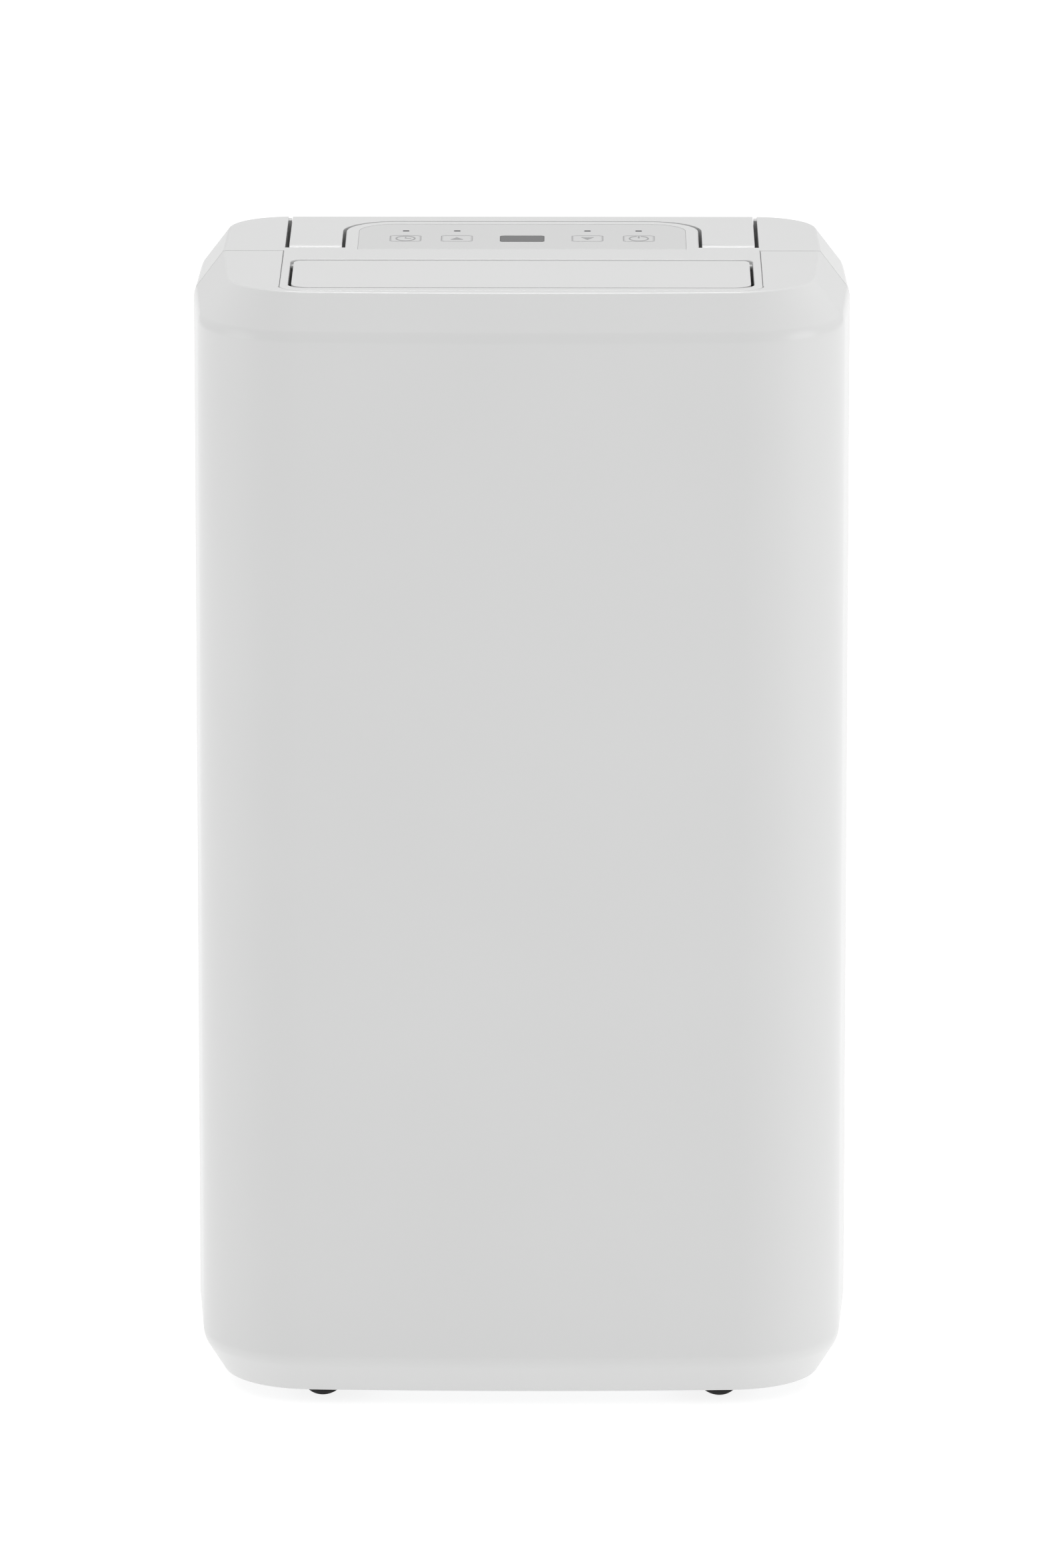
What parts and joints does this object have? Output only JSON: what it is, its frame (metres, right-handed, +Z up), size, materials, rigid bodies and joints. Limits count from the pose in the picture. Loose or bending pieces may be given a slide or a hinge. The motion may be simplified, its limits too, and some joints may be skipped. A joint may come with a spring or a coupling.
{
  "type": "dehumidifier",
  "caption": "Upright room dehumidifier with a rear water bucket, folding carry handle, hinged top outlet flap, touch panel and recessed casters.",
  "frame": {"origin": "on the floor, under the middle of the case's bounding box", "axes": "+Z up, +X to the right across the front, +Y from the front panel towards the back; the front panel faces -Y"},
  "size_m": [0.35, 0.248, 0.605],
  "materials": {
    "case_white": "white ABS, moulded gloss",
    "panel_grey": "pale grey polyester film, satin",
    "display_lens": "smoked lens, clear gloss",
    "light_pipe": "clear acrylic",
    "caster_black": "black nylon, satin",
    "caster_steel": "bright plated steel pin",
    "rubber_black": "matt black rubber",
    "inner_grey": "grey moulded polypropylene",
    "bucket_clear": "smoky translucent polypropylene",
    "coil_aluminium": "thin sheet fins",
    "steel_plated": "zinc plated",
    "pump_black": "black enamel",
    "pipe_copper": "drawn copper tube",
    "board_green": "solder resist",
    "filter_mesh": "woven nylon mesh"
  },
  "bodies": {
    "root": {"front_shell": "case_white", "rear_shell": "case_white", "top_deck": "case_white", "outlet_grille": "inner_grey", "handle_pin_left": "steel_plated", "handle_pin_right": "steel_plated", "keypad_overlay": "panel_grey", "display_window": "display_lens", "digit_module": "caster_black", "light_guide": "light_pipe", "control_board": "board_green", "evaporator_coil": "coil_aluminium", "condenser_coil": "coil_aluminium", "drip_tray": "inner_grey", "blower_housing": "inner_grey", "fan_motor": "steel_plated", "compressor": "pump_black", "compressor_grommet_1": "rubber_black", "compressor_grommet_2": "rubber_black", "compressor_grommet_3": "rubber_black", "accumulator": "pump_black", "discharge_pipe": "pipe_copper", "suction_pipe": "pipe_copper", "capillary_tube": "pipe_copper", "base_pan": "inner_grey", "partition": "inner_grey", "electrical_box": "inner_grey", "power_board": "board_green", "transformer": "pump_black", "run_capacitor": "light_pipe", "humidity_sensor": "board_green", "cord_gland": "rubber_black"},
    "flap": {"outlet_flap": "case_white"},
    "handle": {"carry_handle": "case_white"},
    "timer_button": {"key_timer": "panel_grey"},
    "up_button": {"key_up": "panel_grey"},
    "down_button": {"key_down": "panel_grey"},
    "power_button": {"key_power": "panel_grey"},
    "bucket": {"water_bucket": "bucket_clear", "bucket_lid": "case_white", "float_pin": "steel_plated"},
    "float": {"bucket_float": "case_white"},
    "intake": {"intake_grille": "case_white", "air_filter": "filter_mesh"},
    "blower": {"blower_wheel": "caster_black", "fan_shaft": "steel_plated"},
    "plug": {"drain_plug": "rubber_black"},
    "caster_front_left": {"caster_fork_front_left": "caster_black", "caster_axle_front_left": "caster_steel"},
    "wheel_front_left": {"caster_wheel_front_left": "caster_black"},
    "caster_front_right": {"caster_fork_front_right": "caster_black", "caster_axle_front_right": "caster_steel"},
    "wheel_front_right": {"caster_wheel_front_right": "caster_black"},
    "caster_rear_left": {"caster_fork_rear_left": "caster_black", "caster_axle_rear_left": "caster_steel"},
    "wheel_rear_left": {"caster_wheel_rear_left": "caster_black"},
    "caster_rear_right": {"caster_fork_rear_right": "caster_black", "caster_axle_rear_right": "caster_steel"},
    "wheel_rear_right": {"caster_wheel_rear_right": "caster_black"}
  },
  "joints": [
    {"name": "flap_hinge", "type": "hinge", "parent": "root", "child": "flap", "pos_m": [0, -0.0193, 0.6015], "axis": [-1, 0, 0], "range_deg": [0, 70]},
    {"name": "handle_hinge", "type": "hinge", "parent": "root", "child": "handle", "pos_m": [0, 0.0284, 0.596], "axis": [1, 0, 0], "range_deg": [0, 90]},
    {"name": "timer_press", "type": "slide", "parent": "root", "child": "timer_button", "axis": [0, 0, -1], "range_m": [0, 0.0005], "stiffness_N_per_m": 2500},
    {"name": "up_press", "type": "slide", "parent": "root", "child": "up_button", "axis": [0, 0, -1], "range_m": [0, 0.0005], "stiffness_N_per_m": 2500},
    {"name": "down_press", "type": "slide", "parent": "root", "child": "down_button", "axis": [0, 0, -1], "range_m": [0, 0.0005], "stiffness_N_per_m": 2500},
    {"name": "power_press", "type": "slide", "parent": "root", "child": "power_button", "axis": [0, 0, -1], "range_m": [0, 0.0005], "stiffness_N_per_m": 2500},
    {"name": "bucket_slide", "type": "slide", "parent": "root", "child": "bucket", "axis": [0, 1, 0], "range_m": [0, 0.2]},
    {"name": "float_hinge", "type": "hinge", "parent": "bucket", "child": "float", "pos_m": [-0.108, 0.04, 0.196], "axis": [0, -1, 0], "range_deg": [0, 18]},
    {"name": "intake_pull", "type": "slide", "parent": "root", "child": "intake", "axis": [0, 1, 0], "range_m": [0, 0.06]},
    {"name": "blower_spin", "type": "hinge", "parent": "root", "child": "blower", "pos_m": [0, -0.05, 0.438], "axis": [0, 1, 0], "continuous": true},
    {"name": "plug_pull", "type": "slide", "parent": "root", "child": "plug", "axis": [0, 1, 0], "range_m": [0, 0.02]},
    {"name": "swivel_front_left", "type": "hinge", "parent": "root", "child": "caster_front_left", "pos_m": [-0.101, -0.084, 0.035], "axis": [0, 0, 1], "continuous": true},
    {"name": "roll_front_left", "type": "hinge", "parent": "caster_front_left", "child": "wheel_front_left", "pos_m": [-0.10671, -0.08585, 0.013], "axis": [-0.309, 0.9511, 0], "continuous": true},
    {"name": "swivel_front_right", "type": "hinge", "parent": "root", "child": "caster_front_right", "pos_m": [0.101, -0.084, 0.035], "axis": [0, 0, 1], "continuous": true},
    {"name": "roll_front_right", "type": "hinge", "parent": "caster_front_right", "child": "wheel_front_right", "pos_m": [0.10671, -0.08585, 0.013], "axis": [0.309, 0.9511, 0], "continuous": true},
    {"name": "swivel_rear_left", "type": "hinge", "parent": "root", "child": "caster_rear_left", "pos_m": [-0.101, 0.084, 0.035], "axis": [0, 0, 1], "continuous": true},
    {"name": "roll_rear_left", "type": "hinge", "parent": "caster_rear_left", "child": "wheel_rear_left", "pos_m": [-0.10671, 0.08215, 0.013], "axis": [-0.309, 0.9511, 0], "continuous": true},
    {"name": "swivel_rear_right", "type": "hinge", "parent": "root", "child": "caster_rear_right", "pos_m": [0.101, 0.084, 0.035], "axis": [0, 0, 1], "continuous": true},
    {"name": "roll_rear_right", "type": "hinge", "parent": "caster_rear_right", "child": "wheel_rear_right", "pos_m": [0.10671, 0.08215, 0.013], "axis": [0.309, 0.9511, 0], "continuous": true}
  ]
}
